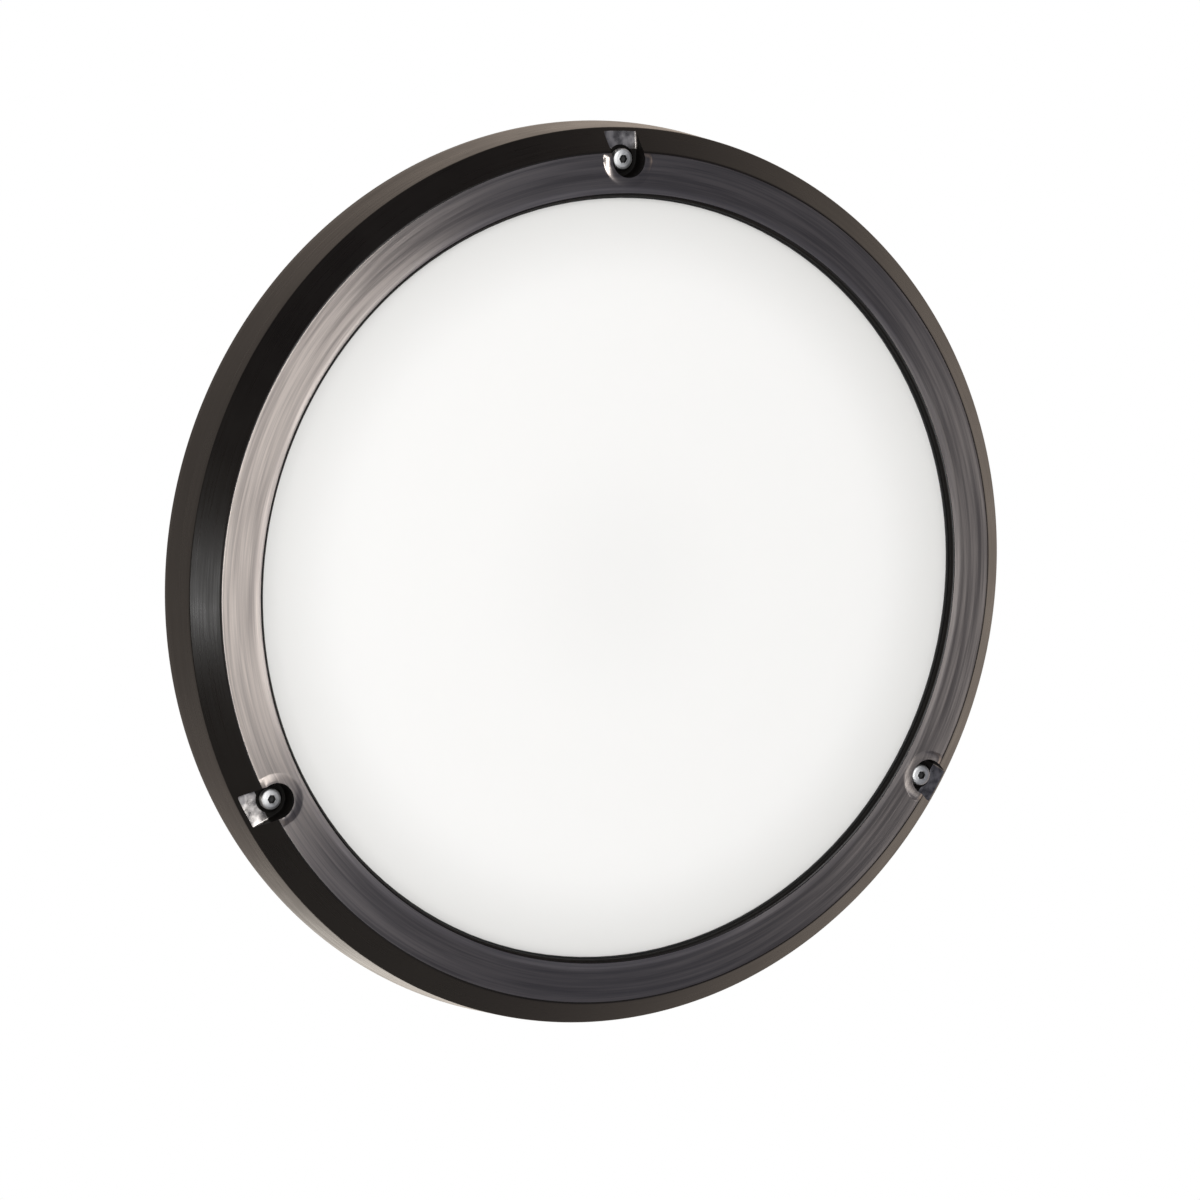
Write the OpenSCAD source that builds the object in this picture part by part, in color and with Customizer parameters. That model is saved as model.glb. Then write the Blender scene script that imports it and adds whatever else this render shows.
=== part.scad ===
// Round bulkhead light for a wall or ceiling, in millimetres.
// A cast bezel with three screw notches clamps an opal diffuser on the sealed rim of a base pan,
// and the pan holds a ring-shaped light board with its driver and terminals in the middle.
// Each piece is drawn on the lamp's axis (+Z to the front, +Y up) and then turned to face -Y.

/* [Bezel] */
// Diameter over the top edge of the side wall
bezel_d = 300; // [280:1:360]
// Depth from the wall to the front of the lip
depth = 27.3; // [27:0.1:40]
// Draft of the side wall in degrees
wall_draft = 4; // [1:0.5:8]
// Gap between the bezel's rim and the wall
rim_lift = 0.5; // [0.2:0.1:2]
// Width and height of the 45 degree chamfer
chamfer = 7.8; // [6:0.1:10]
// Width of the brushed face band
face_w = 14.8; // [13:0.1:20]
// Rise of the face band from the chamfer to the lip
face_rise = 1.3; // [0.4:0.1:3]
// Thickness of the cast walls
shell = 3; // [2:0.1:4]
// Height of the lip's inner wall
lip_h = 2.8; // [2:0.1:4]
// Rounding of the bezel's outer edges
edge_r = 0.8; // [0.2:0.1:2]
// Thickness of the gussets inside the bezel
web_t = 2; // [1:0.1:4]
// Number of gussets between two screw notches
webs_per_notch = 4; // [2:1:6]

/* [Screw notches] */
// Number of bezel screws
screw_count = 3; // [3:1:6]
// Width of the notch around the screw head
notch_d = 12; // [10:0.1:13]
// Width of the raised collar round the notch
collar_w = 3; // [2:0.1:3.4]
// Height of the collar above the face band
collar_h = 0.7; // [0.4:0.1:1.2]
// Height of the notch floor above the top edge of the side wall
notch_lift = 1.2; // [0.2:0.1:2]
// Thickness of the notch floor
notch_floor_t = 3.6; // [2:0.1:5]
// Wall between the notch and the diffuser's pocket
notch_wall = 2; // [1.5:0.1:3]

/* [Bezel screws] */
// Thread diameter
screw_d = 4; // [3:0.5:5]
// Head diameter
screw_head_d = 7; // [6:0.1:8.5]
// Head height
screw_head_h = 2.8; // [2:0.1:4]
// Width across the flats of the hexagon socket
socket_af = 2.5; // [2:0.5:4]
// Depth of the hexagon socket
socket_depth = 1.6; // [1:0.1:2]
// Length of thread held in the pillar
screw_grip = 8; // [5:0.5:9]
// Thickness of the sealing ring under the head
screw_seal_t = 0.8; // [0.4:0.1:1.5]

/* [Diffuser] */
// Thickness of the diffuser
diffuser_t = 2.8; // [2:0.1:4]
// Rise of the diffuser's middle above its rim
crown = 3.5; // [1.5:0.1:8]
// Width of the diffuser's rim under the lip
seat_w = 3.6; // [2:0.1:6]
// Thickness of the gasket between the lip and the diffuser
lens_gasket_t = 0.8; // [0.5:0.1:1.5]
// Width of the gasket that shows inside the lip
gasket_show = 0.5; // [0.2:0.1:1]

/* [Base pan] */
// Thickness of the back plate
plate_t = 2.5; // [2:0.1:4]
// Height of the thick middle above the back plate
platform_h = 2; // [1.5:0.1:3]
// Height of the outer flange
flange_h = 8; // [5:0.5:11]
// Thickness of the outer flange
flange_t = 2; // [1.5:0.1:3]
// Thickness of the rim wall that carries the seal
rim_t = 4; // [3:0.1:5]
// Height of the seal above the rim wall
seal_h = 1; // [0.5:0.1:2]
// Depth of the seal's groove
seal_groove = 1.2; // [0.8:0.1:2]
// Diameter of the pillars for the bezel screws
pillar_d = 10; // [8:0.5:12]
// Depth of the recess in the back
recess_depth = 1; // [0.5:0.1:1.2]
// Thickness of the foam ring in the back
wall_gasket_t = 1.5; // [0.8:0.1:1.6]
// Width of the foam ring in the back
wall_gasket_w = 7; // [4:0.5:9]

/* [Wall fixing and cable entry] */
// Number of wall fixing holes
fixing_count = 4; // [3:1:6]
// Diameter of the wall fixing holes
fixing_d = 5.2; // [4:0.1:6.5]
// Diameter of the bosses round the wall fixing holes
fixing_boss_d = 12; // [10:0.5:14]
// Thickness of the sealing rings on those bosses
fixing_seal_t = 1.2; // [0.8:0.1:2]
// Bore of the cable grommet
cable_d = 8; // [5:0.5:9]

/* [Light board] */
// Thickness of the board
board_t = 1.6; // [1:0.1:2.4]
// Thickness of the thermal pad
pad_t = 0.5; // [0.2:0.1:1]
// Number of rings of emitters
emitter_rings = 3; // [2:1:3]
// Emitters in the innermost ring
emitters_inner = 18; // [12:1:24]
// Emitters added by each further ring
emitters_step = 6; // [3:1:8]
// Number of board screws
board_screw_count = 6; // [3:1:8]

/* [Driver and terminals] */
// Length of the driver
driver_l = 84; // [74:1:94]
// Width of the driver
driver_w = 36; // [34:1:40]
// Height of the driver's case without its lid
driver_h = 11.5; // [11:0.1:12]
// Thickness of the driver's walls
driver_wall = 1.5; // [1:0.1:1.8]
// Diameter of the gear cover
cover_d = 124; // [112:1:136]
// Thickness of the gear cover
cover_t = 1.2; // [0.8:0.1:2]
// Distance between two terminal poles
pole_pitch = 10; // [9:0.5:11]
// Diameter of the leads
lead_d = 2.2; // [1.6:0.1:2.4]

/* [Hidden] */

// Circle resolution, and the overlap that keeps cuts and unions clean
$fn = 128;
eps = 0.1;

// Clearances: screw in a clear hole, screw in its thread, and a piece set into a pocket
hole_gap = 0.25;
thread_gap = 0.1;
pocket_gap = 0.1;
diffuser_gap = 0.65;
pan_gap = 0.5;

// Bezel section, from the wall outwards and then in to the lip
wall_top_r = bezel_d / 2;
face_z = depth - face_rise;
wall_h = face_z - chamfer;
rim_r = wall_top_r + (wall_h - rim_lift) * tan(wall_draft);
face_r = wall_top_r - chamfer;
lip_r = face_r - face_w;
face_slope = atan(face_rise / face_w);
seat_z = depth - lip_h;
lip_edge_r = edge_r * 0.75;
corner_k = shell * tan(22.5);

// Diffuser and its pocket
diffuser_r = lip_r + seat_w;
diffuser_front = seat_z - lens_gasket_t;
diffuser_back = diffuser_front - diffuser_t;
crown_steps = 16;
pocket_r = diffuser_r + diffuser_gap;
pocket_wall = 1.8;

// Screw notches
screw_r = pocket_r + notch_wall + notch_d / 2;
first_screw_a = 90;
notch_floor_z = wall_h + notch_lift;
boss_z = notch_floor_z - notch_floor_t;
boss_d = notch_d + 2 * notch_wall - 0.6;
collar_base = 1.2;
collar_trim = 0.3;
collar_steps = 8;
notch_mouth_z = face_z + (face_r - screw_r) * tan(face_slope);
head_seat_z = notch_floor_z + screw_seal_t;
web_count = screw_count * webs_per_notch;
web_drop = 6;

// Base pan
pan_r = rim_r - shell - (flange_h - rim_lift) * tan(wall_draft) - pan_gap;
platform_z = plate_t + platform_h;
rim_out_r = diffuser_r - 1;
rim_in_r = rim_out_r - rim_t;
rim_z = diffuser_back - seal_h;
groove_w = rim_t / 2;
blind_z = recess_depth + 0.7;
tip_gap = 0.5;
thread_floor_z = boss_z - screw_grip - 1;
rib_t = 3;
rib_drop = 0.8;
wall_gasket_r = rim_in_r - 1;

// Wall fixings and cable entry
fixing_r = rim_in_r - 9;
first_fixing_a = 45;
entry_pos = [24, 30];
entry_neck_d = cable_d + 6;
entry_flange_d = cable_d + 10;
entry_recess = 1.2;
entry_inner_h = 2;

// Light board, with a margin at its inner edge for the connector
cover_r = cover_d / 2;
board_in_r = cover_r + 2;
board_out_r = fixing_r - fixing_boss_d / 2 - 3;
platform_r = board_out_r + 1;
board_z = platform_z + pad_t;
board_top_z = board_z + board_t;
connector_margin = 7;
emitter_size = [2.8, 3.5, 0.8];
emitter_window_d = 2.2;
emitter_window_depth = 0.2;
ring_step = (board_out_r - board_in_r - connector_margin) / emitter_rings;
board_screw_r = board_in_r + connector_margin + ring_step;
recess_in_r = norm(entry_pos) + entry_flange_d / 2 + 5.5;
recess_out_r = platform_r - 4;

// Small screws of 3 mm thread
m3_d = 3;
m3_head_d = 5.5;
m3_head_h = 1.8;
m3_slot = 0.8;

// Room inside the gear cover
gear_gap = 1.5;
gear_r = cover_r - cover_t - gear_gap;

// Driver, on two ears, as low in the gear cover as its corners and its ears allow
driver_pos = [0, driver_w / 2 - sqrt(pow(gear_r, 2) - pow(driver_l / 2, 2))];
driver_corner = 2;
driver_lid_t = 1.2;
driver_top_z = platform_z + driver_h;
ear_l = 8;
ear_w = 10;
ear_t = 2;
ear_y = ear_w / 2 - sqrt(pow(gear_r, 2) - pow(driver_l / 2 + ear_l, 2));
post_d = 4;
post_h = 2.5;
driver_board_margin = 1.5;
driver_board_z = platform_z + driver_wall + post_h;
driver_board_top = driver_board_z + board_t;
transformer_size = [20, 16, 5];
transformer_x = -14;
capacitor_d = 5;
capacitor_l = 11;
capacitor_x = 14;

// Gear cover, on two pillars
cover_room = 1;
cover_h = driver_h + driver_lid_t + cover_room + cover_t;
cover_top_z = platform_z + cover_h;
cover_corner = 3;
cover_pillar_d = 8;
cover_pillar_y = 12;
cover_pillar_r = cover_r - cover_corner - pocket_gap - cover_pillar_d / 2;
cover_pillar_x = sqrt(pow(cover_pillar_r, 2) - pow(cover_pillar_y, 2));
cover_pillar_pos = [[-cover_pillar_x, cover_pillar_y], [cover_pillar_x, cover_pillar_y]];
cover_screw_l = 7;
lead_slot_w = 12;
lead_slot_h = 9;

// Terminal block, its poles and the earth point
terminal_pos = [-12, 24];
terminal_size = [3 * pole_pitch + 4, 16, 11];
pole_d = 5.2;
pole_z = platform_z + 5;
clamp_d = pole_d - 2 * pocket_gap;
clamp_bore_d = lead_d + 0.6;
clamp_l = 14;
clamp_screw_d = 2.6;
clamp_screw_l = terminal_size[2] - 6.6;
fix_pos = [terminal_pos[0] + pole_pitch / 2, terminal_pos[1]];
fix_d = 2.5;
fix_head_d = 4.4;
fix_head_h = 1.6;
earth_gap = 12;
earth_pos = [terminal_pos[0] - terminal_size[0] / 2 - earth_gap, terminal_pos[1]];
earth_d = 4;
earth_head_d = 7;
earth_head_h = 2.4;
ring_d = 9;
ring_t = 1;
barrel_d = lead_d + 1.6;
barrel_l = 6;

// Connector and the ends of the leads
connector_size = [5, 8, 5];
connector_pitch = 3;
connector_x = board_in_r + 0.5;
connector_z = board_top_z + connector_size[2] / 2;
lead_in = 2;
pole_y = terminal_pos[1] - clamp_l / 2 + lead_in;
driver_side_y = driver_pos[1] + driver_w / 2;
driver_end_x = driver_pos[0] + driver_l / 2;
barrel_end_y = earth_pos[1] - ring_d / 2 - barrel_l;
barrel_y = barrel_end_y + lead_in;
barrel_z = platform_z + barrel_d / 2 + pocket_gap;
mains_x = [16, 6];
lead_bend_y = (terminal_pos[1] - terminal_size[1] / 2 + driver_side_y) / 2;
earth_bend_y = lead_bend_y - 3;
lead_gap = 4;
lead_reach = 0.45 * (connector_x - driver_end_x);
lead_sides = 8;
lead_steps = 14;

// Routes of the leads: the two ends, and the two points that each one bends towards
live_route = [
  [pole_x(2), pole_y, pole_z],
  [pole_x(2), lead_bend_y, pole_z],
  [mains_x[0], lead_bend_y, pole_z],
  [mains_x[0], driver_side_y, pole_z]
];
neutral_route = [
  [pole_x(1), pole_y, pole_z],
  [pole_x(1), lead_bend_y, pole_z],
  [mains_x[1], lead_bend_y, pole_z],
  [mains_x[1], driver_side_y, pole_z]
];
earth_route = [
  [pole_x(0), pole_y, pole_z],
  [pole_x(0), earth_bend_y, pole_z],
  [earth_pos[0], earth_bend_y, barrel_z],
  [earth_pos[0], barrel_y, barrel_z]
];
led_positive_route = [
  [driver_end_x, driver_side_y - lead_gap, pole_z],
  [driver_end_x + lead_reach, driver_side_y - lead_gap, pole_z],
  [connector_x - lead_reach, connector_pitch / 2, connector_z],
  [connector_x, connector_pitch / 2, connector_z]
];
led_negative_route = [
  [driver_end_x, driver_side_y - 2 * lead_gap, pole_z],
  [driver_end_x + lead_reach, driver_side_y - 2 * lead_gap, pole_z],
  [connector_x - lead_reach, -connector_pitch / 2, connector_z],
  [connector_x, -connector_pitch / 2, connector_z]
];

function pole_x(i) = terminal_pos[0] + (i - 1) * pole_pitch;
function unit(v) = v / norm(v);
function flat(list) = [for (part = list) each part];

// Points of one corner b between a and c, each [x, y, radius]
function corner(a, b, c, steps) =
  let (
    u = unit([a[0] - b[0], a[1] - b[1]]),
    v = unit([c[0] - b[0], c[1] - b[1]]),
    half = acos(u * v) / 2,
    reach = b[2] / tan(half),
    centre = [b[0], b[1]] + unit(u + v) * b[2] / sin(half),
    p = [b[0], b[1]] + u * reach - centre,
    q = [b[0], b[1]] + v * reach - centre,
    start = atan2(p[1], p[0]),
    turn = (atan2(q[1], q[0]) - start + 540) % 360 - 180
  )
  b[2] == 0
    ? [[b[0], b[1]]]
    : [for (i = [0:steps]) centre + b[2] * [cos(start + turn * i / steps), sin(start + turn * i / steps)]];

// Closed outline with its corners rounded
function rounded(points, steps = 5) =
  let (n = len(points))
  flat([for (i = [0:n - 1]) corner(points[(i + n - 1) % n], points[i], points[(i + 1) % n], steps)]);

// Height of the crown over the diffuser's flat rim, for a crown that starts at radius start
function crown_z(r, start) = crown * (1 - pow(r / start, 2));

// A lead's place and direction along its bend, at t from 0 to 1
function bend_point(p, t) =
  pow(1 - t, 3) * p[0] + 3 * t * pow(1 - t, 2) * p[1] + 3 * t * t * (1 - t) * p[2] + pow(t, 3) * p[3];
function bend_dir(p, t) =
  unit(pow(1 - t, 2) * (p[1] - p[0]) + 2 * t * (1 - t) * (p[2] - p[1]) + t * t * (p[3] - p[2]));

// Placing: the lamp's axis to the front, and the two screw circles
module lamp() {
  rotate([90, 0, 0]) children();
}

module around(count, radius, first) {
  for (i = [0:count - 1])
    rotate([0, 0, first + i * 360 / count])
      translate([radius, 0, 0])
        children();
}

module at_screws() {
  around(screw_count, screw_r, first_screw_a) children();
}

module at_fixings() {
  around(fixing_count, fixing_r, first_fixing_a) children();
}

module at_board_screws() {
  around(board_screw_count, board_screw_r, 0) children();
}

module at_ears() {
  for (side = [-1, 1])
    translate([side * (driver_l / 2 + ear_l / 2), ear_y, 0])
      children();
}

module at_poles() {
  for (i = [0:2])
    translate([pole_x(i), terminal_pos[1], 0])
      children();
}

// Shapes that repeat
module ring(outer, inner, from_z, to_z) {
  translate([0, 0, from_z])
    difference() {
      cylinder(r = outer, h = to_z - from_z);
      translate([0, 0, -eps])
        cylinder(r = inner, h = to_z - from_z + 2 * eps);
    }
}

module rounded_box(size, radius) {
  x = size[0] / 2;
  y = size[1] / 2;
  linear_extrude(size[2])
    polygon(rounded([[-x, -y, radius], [x, -y, radius], [x, y, radius], [-x, y, radius]]));
}

module hole(d, from_z, to_z) {
  translate([0, 0, from_z])
    cylinder(d = d, h = to_z - from_z, $fn = 48);
}

// Pan-head screw with a slot, its head standing on z = 0
module small_screw(d, length, head_d, head_h) {
  difference() {
    union() {
      rotate_extrude($fn = 48)
        polygon(rounded([[0, 0, 0], [head_d / 2, 0, 0], [head_d / 2, head_h, head_h * 0.4], [0, head_h, 0]]));
      translate([0, 0, -length])
        cylinder(d = d, h = length + eps, $fn = 48);
    }
    translate([-head_d, -m3_slot / 2, head_h * 0.5])
      cube([2 * head_d, m3_slot, head_h]);
  }
}

// One ring of points round a lead's place c, square to its direction d
function lead_ring(c, d) =
  let (side = unit([d[1], -d[0], 0]), up = cross(side, d))
  [for (k = [0:lead_sides - 1])
    c + lead_d / 2 * (side * cos(k * 360 / lead_sides) + up * sin(k * 360 / lead_sides))];

module lead(route) {
  points = flat([for (i = [0:lead_steps])
    lead_ring(bend_point(route, i / lead_steps), bend_dir(route, i / lead_steps))]);
  last = lead_steps * lead_sides;
  faces = concat(
    [[for (k = [0:lead_sides - 1]) k]],
    [[for (k = [lead_sides - 1:-1:0]) last + k]],
    [for (i = [0:lead_steps - 1], k = [0:lead_sides - 1])
      let (m = (k + 1) % lead_sides, near = i * lead_sides, far = near + lead_sides)
      [near + m, near + k, far + k, far + m]]
  );
  polyhedron(points, faces);
}

// Bezel: one casting, a revolved section with notch bosses and gussets behind the face band
module bezel_section() {
  slope_z = (face_r - pocket_r - pocket_wall) * tan(face_slope);
  polygon(rounded([
    [rim_r, rim_lift, 0],
    [wall_top_r, wall_h, edge_r],
    [face_r, face_z, edge_r],
    [lip_r, depth, lip_edge_r],
    [lip_r, seat_z, 0],
    [pocket_r, seat_z, 0],
    [pocket_r, diffuser_back, 0],
    [pocket_r + pocket_wall, diffuser_back, 0],
    [pocket_r + pocket_wall, face_z + slope_z - shell, 0],
    [face_r - corner_k, face_z - shell, 0],
    [wall_top_r - shell, wall_h - corner_k, 0],
    [rim_r - shell, rim_lift, 0]
  ]));
}

module bezel_outer_form() {
  rotate_extrude()
    polygon(rounded([
      [rim_r, rim_lift, 0],
      [wall_top_r, wall_h, edge_r],
      [face_r, face_z, edge_r],
      [lip_r, depth, lip_edge_r],
      [lip_r, rim_lift, 0]
    ]));
}

module notch_bosses() {
  reach = wall_top_r - screw_r;
  intersection() {
    bezel_outer_form();
    at_screws() {
      translate([0, 0, boss_z])
        cylinder(d = boss_d, h = depth - boss_z);
      translate([0, -boss_d / 2, boss_z])
        cube([reach, boss_d, depth - boss_z]);
    }
  }
}

module gussets() {
  near_r = pocket_r + pocket_wall - 0.5;
  far_r = wall_top_r - shell + 0.5;
  around(web_count, 0, first_screw_a + 180 / web_count)
    rotate([90, 0, 0])
      linear_extrude(web_t, center = true)
        polygon([
          [near_r, diffuser_back + 0.5],
          [far_r, wall_h - web_drop],
          [far_r, wall_h - corner_k],
          [face_r - corner_k, face_z - shell + 0.5],
          [near_r, face_z - shell + 0.5]
        ]);
}

// Raised collars round the notches, ending at the chamfer
module notch_collars() {
  inner = notch_d / 2;
  crest = inner + 0.2 * collar_w;
  fall = [for (i = [0:collar_steps])
    [crest + 0.8 * collar_w * i / collar_steps, collar_h * (1 + cos(180 * i / collar_steps)) / 2]];
  low = 2;
  high = 5;
  intersection() {
    rotate_extrude()
      polygon([
        [lip_r + edge_r, face_z - low],
        [face_r + low - collar_trim, face_z - low],
        [face_r - high - collar_trim, face_z + high],
        [lip_r + edge_r, face_z + high]
      ]);
    at_screws()
      translate([0, 0, notch_mouth_z])
        rotate([0, face_slope, 0])
          rotate_extrude($fn = 64)
            polygon(concat(
              [[inner - eps, -collar_base], [inner - eps, collar_h]],
              fall,
              [[inner + collar_w, -collar_base]]
            ));
  }
}

module notch_cut() {
  above = depth;
  hole(notch_d, notch_floor_z, depth + above);
  translate([0, -notch_d / 2, notch_floor_z])
    cube([2 * chamfer + notch_d, notch_d, above]);
  hole(screw_d + 2 * hole_gap, boss_z - eps, notch_floor_z + eps);
}

module bezel() {
  color("#3a312b")
    lamp()
      difference() {
        union() {
          rotate_extrude() bezel_section();
          notch_bosses();
          notch_collars();
          gussets();
        }
        at_screws() notch_cut();
      }
}

// Diffuser: a flat rim under the lip and a shallow crown
module diffuser() {
  front_r = lip_r - gasket_show - 0.3;
  back_r = rim_in_r - 1;
  front = [for (i = [0:crown_steps])
    let (r = front_r * i / crown_steps) [r, diffuser_front + crown_z(r, front_r)]];
  back = [for (i = [crown_steps:-1:0])
    let (r = back_r * i / crown_steps) [r, diffuser_back + crown_z(r, back_r)]];
  color("#f4f2ee")
    lamp()
      rotate_extrude()
        polygon(concat(front, [[diffuser_r, diffuser_front], [diffuser_r, diffuser_back]], back));
}

module bezel_screws() {
  length = head_seat_z - boss_z + screw_grip;
  color("#b9babb")
    lamp()
      at_screws()
        translate([0, 0, head_seat_z])
          difference() {
            union() {
              rotate_extrude($fn = 64)
                polygon(rounded([
                  [0, 0, 0],
                  [screw_head_d / 2, 0, 0],
                  [screw_head_d / 2, screw_head_h, 0.4],
                  [0, screw_head_h, 0]
                ]));
              hole(screw_d, -length, eps);
            }
            translate([0, 0, screw_head_h - socket_depth])
              cylinder(d = socket_af / cos(30), h = socket_depth + eps, $fn = 6);
          }
}

// Base pan: one casting
module pan_pillars() {
  intersection() {
    cylinder(r = pan_r, h = boss_z);
    at_screws() {
      cylinder(d = pillar_d, h = boss_z);
      translate([-pillar_d, -rib_t / 2, 0])
        cube([2 * pillar_d, rib_t, flange_h - rib_drop]);
    }
  }
}

module pan_ribs() {
  around(2 * board_screw_count, 0, 180 / board_screw_count / 2)
    translate([platform_r - eps, -rib_t / 2, 0])
      cube([rim_in_r - platform_r + 2 * eps, rib_t, platform_z - rib_drop]);
}

module pan_back_recess() {
  difference() {
    ring(recess_out_r, recess_in_r, -eps, recess_depth);
    around(2 * board_screw_count, 0, 180 / board_screw_count / 2)
      translate([recess_in_r - 1, -rib_t / 2, -2 * eps])
        cube([recess_out_r - recess_in_r + 2, rib_t, recess_depth + 4 * eps]);
  }
}

module pan_solids() {
  cylinder(r = pan_r, h = plate_t);
  ring(pan_r, pan_r - flange_t, 0, flange_h);
  ring(rim_out_r, rim_in_r, plate_t - eps, rim_z);
  cylinder(r = platform_r, h = platform_z);
  pan_pillars();
  pan_ribs();
  at_fixings() cylinder(d = fixing_boss_d, h = platform_z);
  for (p = cover_pillar_pos)
    translate([p[0], p[1], 0])
      cylinder(d = cover_pillar_d, h = cover_top_z - cover_t);
}

module pan_holes() {
  tap_d = m3_d + 2 * thread_gap;
  groove_r = rim_in_r + rim_t / 2;
  ring(groove_r + groove_w / 2, groove_r - groove_w / 2, rim_z - seal_groove, rim_z + eps);
  ring(wall_gasket_r + wall_gasket_w, wall_gasket_r, -eps, wall_gasket_t);
  pan_back_recess();
  at_screws() hole(screw_d + 2 * thread_gap, thread_floor_z, boss_z + eps);
  at_fixings() hole(fixing_d, -eps, platform_z + eps);
  at_board_screws() hole(tap_d, blind_z, platform_z + eps);
  at_ears() hole(tap_d, blind_z, platform_z + eps);
  for (p = cover_pillar_pos)
    translate([p[0], p[1], 0])
      hole(tap_d, cover_top_z - cover_t - cover_screw_l, cover_top_z);
  translate(fix_pos) hole(fix_d + 2 * thread_gap, blind_z, platform_z + eps);
  translate(earth_pos) hole(earth_d + 2 * thread_gap, blind_z, platform_z + eps);
  translate(entry_pos) {
    hole(entry_neck_d, -eps, platform_z + eps);
    hole(entry_flange_d, -eps, entry_recess);
  }
}

module base_pan() {
  color("#35302c")
    lamp()
      difference() {
        pan_solids();
        pan_holes();
      }
}

// Seals
module lens_gasket() {
  color("#1c1c1c")
    lamp()
      ring(diffuser_r - 0.2, lip_r - gasket_show, diffuser_front, seat_z);
}

module rim_seal() {
  mid = rim_in_r + rim_t / 2;
  foot = groove_w / 2 - pocket_gap;
  lip = rim_t / 2 - 0.5;
  color("#262626")
    lamp()
      rotate_extrude()
        polygon(rounded([
          [mid - foot, rim_z - seal_groove, 0],
          [mid + foot, rim_z - seal_groove, 0],
          [mid + foot, rim_z, 0],
          [mid + lip, rim_z, 0],
          [mid + lip, diffuser_back, seal_h * 0.4],
          [mid - lip, diffuser_back, seal_h * 0.4],
          [mid - lip, rim_z, 0],
          [mid - foot, rim_z, 0]
        ]));
}

module screw_seals() {
  color("#262626")
    lamp()
      at_screws()
        ring(screw_head_d / 2 - 0.2, screw_d / 2 + pocket_gap, notch_floor_z, head_seat_z);
}

module wall_gasket() {
  color("#3b3b3b")
    lamp()
      ring(wall_gasket_r + wall_gasket_w - pocket_gap, wall_gasket_r + pocket_gap, 0, wall_gasket_t);
}

module cable_grommet() {
  neck = entry_neck_d / 2 - pocket_gap;
  flange = entry_flange_d / 2 - pocket_gap;
  color("#202020")
    lamp()
      translate(entry_pos)
        rotate_extrude()
          polygon([
            [cable_d / 2, 0],
            [flange, 0],
            [flange, entry_recess],
            [neck, entry_recess],
            [neck, platform_z],
            [flange, platform_z],
            [flange - 1, platform_z + entry_inner_h],
            [cable_d / 2, platform_z + entry_inner_h]
          ]);
}

module fixing_seals() {
  color("#262626")
    lamp()
      at_fixings()
        ring(fixing_boss_d / 2 - 1, fixing_d / 2 - 0.4, platform_z, platform_z + fixing_seal_t);
}

// Light board
module board_ring(from_z, to_z, screw_hole_d) {
  difference() {
    ring(board_out_r, board_in_r, from_z, to_z);
    at_board_screws() hole(screw_hole_d, from_z - eps, to_z + eps);
  }
}

module led_board() {
  color("#f2f2ec")
    lamp()
      board_ring(board_z, board_top_z, m3_d + 2 * hole_gap);
}

module thermal_pad() {
  color("#8d9496")
    lamp()
      board_ring(platform_z, board_z, m3_d + 4 * hole_gap);
}

module emitter() {
  difference() {
    translate([-emitter_size[0] / 2, -emitter_size[1] / 2, 0])
      cube(emitter_size);
    hole(emitter_window_d, emitter_size[2] - emitter_window_depth, emitter_size[2] + eps);
  }
}

module led_emitters() {
  color("#f0d86a")
    lamp()
      translate([0, 0, board_top_z])
        for (i = [0:emitter_rings - 1]) {
          count = emitters_inner + i * emitters_step;
          around(count, board_in_r + connector_margin + (i + 0.5) * ring_step, 180 / count)
            emitter();
        }
}

module board_screws() {
  color("#c4c6c8")
    lamp()
      at_board_screws()
        translate([0, 0, board_top_z])
          small_screw(m3_d, board_top_z - blind_z - tip_gap, m3_head_d, m3_head_h);
}

module led_connector() {
  slot = [2, connector_size[1] - 2, 2];
  color("#f4f4f0")
    lamp()
      translate([connector_x, -connector_size[1] / 2, board_top_z])
        difference() {
          cube(connector_size);
          translate([connector_size[0] - slot[0], 1, connector_size[2] - slot[2]])
            cube([slot[0] + eps, slot[1], slot[2] + eps]);
        }
}

// Gear cover: a drawn tray, open to the pan
module gear_cover() {
  inner = cover_r - cover_t;
  color("#f5f5f2")
    lamp()
      difference() {
        rotate_extrude()
          polygon(rounded([
            [0, cover_top_z - cover_t, 0],
            [inner, cover_top_z - cover_t, cover_corner - cover_t],
            [inner, platform_z, 0],
            [cover_r, platform_z, 0],
            [cover_r, cover_top_z, cover_corner],
            [0, cover_top_z, 0]
          ]));
        for (p = cover_pillar_pos)
          translate([p[0], p[1], 0])
            hole(m3_d + 2 * hole_gap, cover_top_z - cover_t - eps, cover_top_z + eps);
        translate([inner - cover_corner, -lead_slot_w / 2, platform_z - eps])
          cube([2 * cover_corner, lead_slot_w, lead_slot_h]);
      }
}

module gear_cover_screws() {
  color("#c4c6c8")
    lamp()
      for (p = cover_pillar_pos)
        translate([p[0], p[1], cover_top_z])
          small_screw(m3_d, cover_t + cover_screw_l - tip_gap, m3_head_d, m3_head_h);
}

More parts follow.
